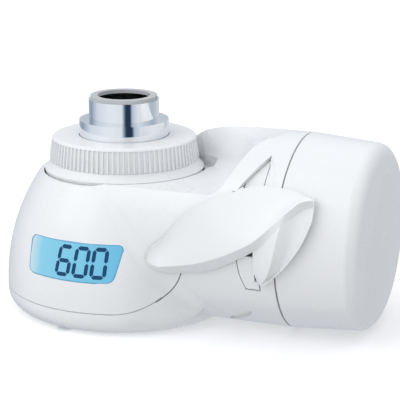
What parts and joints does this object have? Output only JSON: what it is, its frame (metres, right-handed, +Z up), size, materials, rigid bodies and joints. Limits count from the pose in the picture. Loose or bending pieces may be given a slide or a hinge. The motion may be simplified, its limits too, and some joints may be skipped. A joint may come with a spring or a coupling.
{
  "type": "faucet mount water filter",
  "caption": "Faucet mount water filter with a domed head, union nut, display, turning lever and a round filter cartridge on its side.",
  "frame": {"origin": "on the axis of the faucet thread, where the adapter's shoulder meets the faucet", "axes": "+Z up along the faucet thread, +X along the cartridge towards its cover, the display faces -Y"},
  "size_m": [0.1339, 0.082, 0.0732],
  "materials": {
    "white_shell": "smooth, satin gloss",
    "white_nut": "smooth satin",
    "white_lever": "smooth, satin gloss",
    "white_cover": "smooth, satin gloss",
    "clear_lens": "clear, polished",
    "blue_display": "lit from behind",
    "display_ink": "dark segments",
    "board_green": "solder mask",
    "battery_steel": "brushed",
    "grey_plastic": "moulded",
    "strainer_steel": "brushed",
    "black_rubber": "matt",
    "chrome": "polished",
    "blue_plastic": "moulded",
    "carbon": "sintered block",
    "fibre": "fibre bundle"
  },
  "bodies": {
    "housing": {"lower_housing": "white_shell", "front_cover": "white_shell", "display_window": "clear_lens", "display_panel": "blue_display", "display_digits": "display_ink", "circuit_board": "board_green", "coin_battery": "battery_steel", "valve_body": "grey_plastic", "return_pipe": "grey_plastic", "inlet_strainer": "strainer_steel", "inlet_seal": "black_rubber", "turbine_axle": "strainer_steel", "valve_seal": "black_rubber", "socket_plate": "grey_plastic", "outlet_ring": "white_shell", "spray_plate": "strainer_steel", "filtered_nozzle": "white_shell", "housing_screws": "strainer_steel"},
    "nut": {"union_nut": "white_nut"},
    "adapter": {"faucet_adapter": "chrome", "adapter_washer": "black_rubber"},
    "lever": {"lever": "white_lever", "valve_rotor": "grey_plastic"},
    "turbine": {"flow_turbine": "blue_plastic"},
    "cartridge": {"cartridge_case": "grey_plastic", "cartridge_cap": "grey_plastic", "cartridge_seal": "black_rubber", "carbon_block": "carbon", "fibre_bundle": "fibre"},
    "cover": {"cartridge_cover": "white_cover"}
  },
  "joints": [
    {"name": "nut_turn", "type": "hinge", "parent": "housing", "child": "nut", "pos_m": [0, 0, -0.012], "axis": [0, 0, 1], "range_deg": [-1440.5, 0]},
    {"name": "adapter_slide", "type": "slide", "parent": "housing", "child": "adapter", "axis": [0, 0, 1], "range_m": [0, 0.006]},
    {"name": "lever_turn", "type": "hinge", "parent": "housing", "child": "lever", "pos_m": [0.055, 0, -0.0325], "axis": [-1, 0, 0], "range_deg": [0, 40]},
    {"name": "turbine_spin", "type": "hinge", "parent": "housing", "child": "turbine", "pos_m": [0.04, 0, -0.0325], "axis": [1, 0, 0], "continuous": true},
    {"name": "cartridge_slide", "type": "slide", "parent": "housing", "child": "cartridge", "axis": [1, 0, 0], "range_m": [0, 0.00375]},
    {"name": "cover_turn", "type": "hinge", "parent": "cartridge", "child": "cover", "pos_m": [0.08, 0, -0.0325], "axis": [1, 0, 0], "range_deg": [0, 900.5]}
  ],
  "couplings": [
    {"joint": "nut_turn", "follows": "adapter_slide", "rad_per_m": -4188.8},
    {"joint": "cover_turn", "follows": "cartridge_slide", "rad_per_m": 4188.8}
  ]
}
